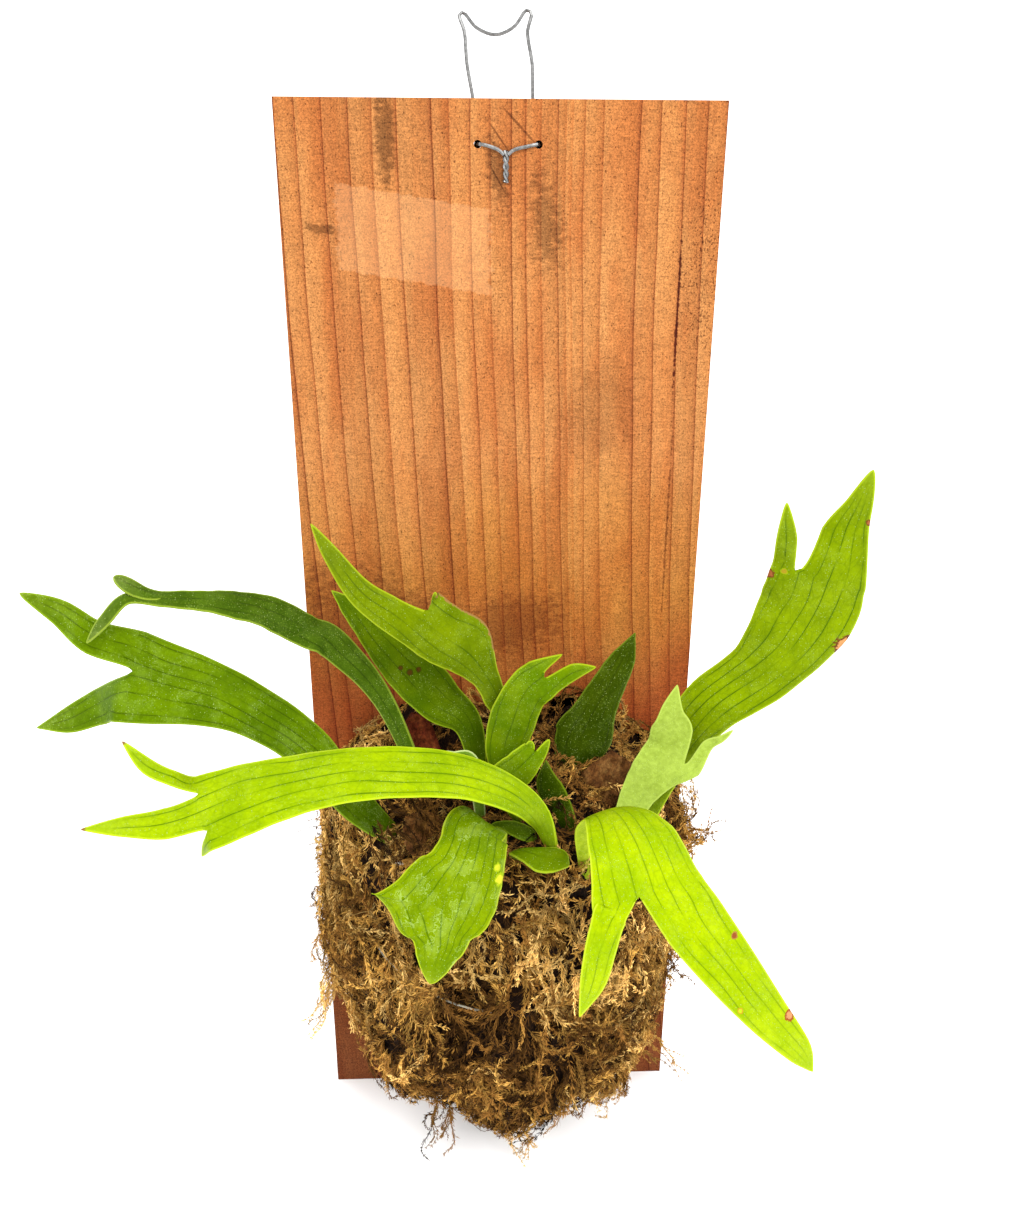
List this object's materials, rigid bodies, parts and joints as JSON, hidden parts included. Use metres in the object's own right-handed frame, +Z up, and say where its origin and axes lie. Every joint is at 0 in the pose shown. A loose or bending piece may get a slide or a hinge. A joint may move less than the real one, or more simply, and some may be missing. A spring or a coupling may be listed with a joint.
{
  "type": "mounted staghorn fern",
  "caption": "Young staghorn fern with forked green fronds, rooted in a moss dome tied to an upright wooden board that hangs from a wire loop.",
  "frame": {"origin": "centre of the board's back face, which lies against the wall", "axes": "+Z up along the board, +Y into the wall, +X to the viewer's right"},
  "size_m": [0.3285, 0.1944, 0.5427],
  "materials": {
    "redwood": "rough sawn, oiled by age, darker and damp at the foot",
    "galvanised_wire": "dull zinc",
    "nail_steel": "bright steel, dulled",
    "fishing_line": "clear nylon line",
    "root_ball": "damp roots and peat",
    "moss": "dried sheet moss, shaggy",
    "mature_frond": "leathery leaf with fine pale hairs",
    "fresh_frond": "young leathery leaf with fine pale hairs",
    "dark_frond": "old leathery leaf, slightly waxy",
    "pale_frond": "leaf seen from its felted underside",
    "shield_frond": "dry and papery"
  },
  "bodies": {
    "root": {"board": "redwood", "hanging_wire": "galvanised_wire", "nail_left_1": "nail_steel", "nail_right_1": "nail_steel", "nail_left_2": "nail_steel", "nail_right_2": "nail_steel", "tie_line_1": "fishing_line", "tie_line_2": "fishing_line", "root_ball": "root_ball", "moss": "moss", "frond_left_forked": "mature_frond", "frond_left_arching": "dark_frond", "frond_front_left": "fresh_frond", "frond_upper_left": "mature_frond", "frond_behind_left": "dark_frond", "frond_centre_forked": "mature_frond", "frond_centre_small": "fresh_frond", "frond_centre_young": "pale_frond", "frond_centre_curled": "dark_frond", "frond_behind_right": "dark_frond", "frond_right_forked": "fresh_frond", "frond_right_pale": "pale_frond", "frond_front_right": "fresh_frond", "frond_front_centre": "mature_frond", "frond_front_small": "fresh_frond", "frond_front_narrow": "dark_frond", "shield_frond_right": "shield_frond", "shield_frond_left": "shield_frond", "shield_frond_front": "shield_frond"}
  },
  "joints": []
}
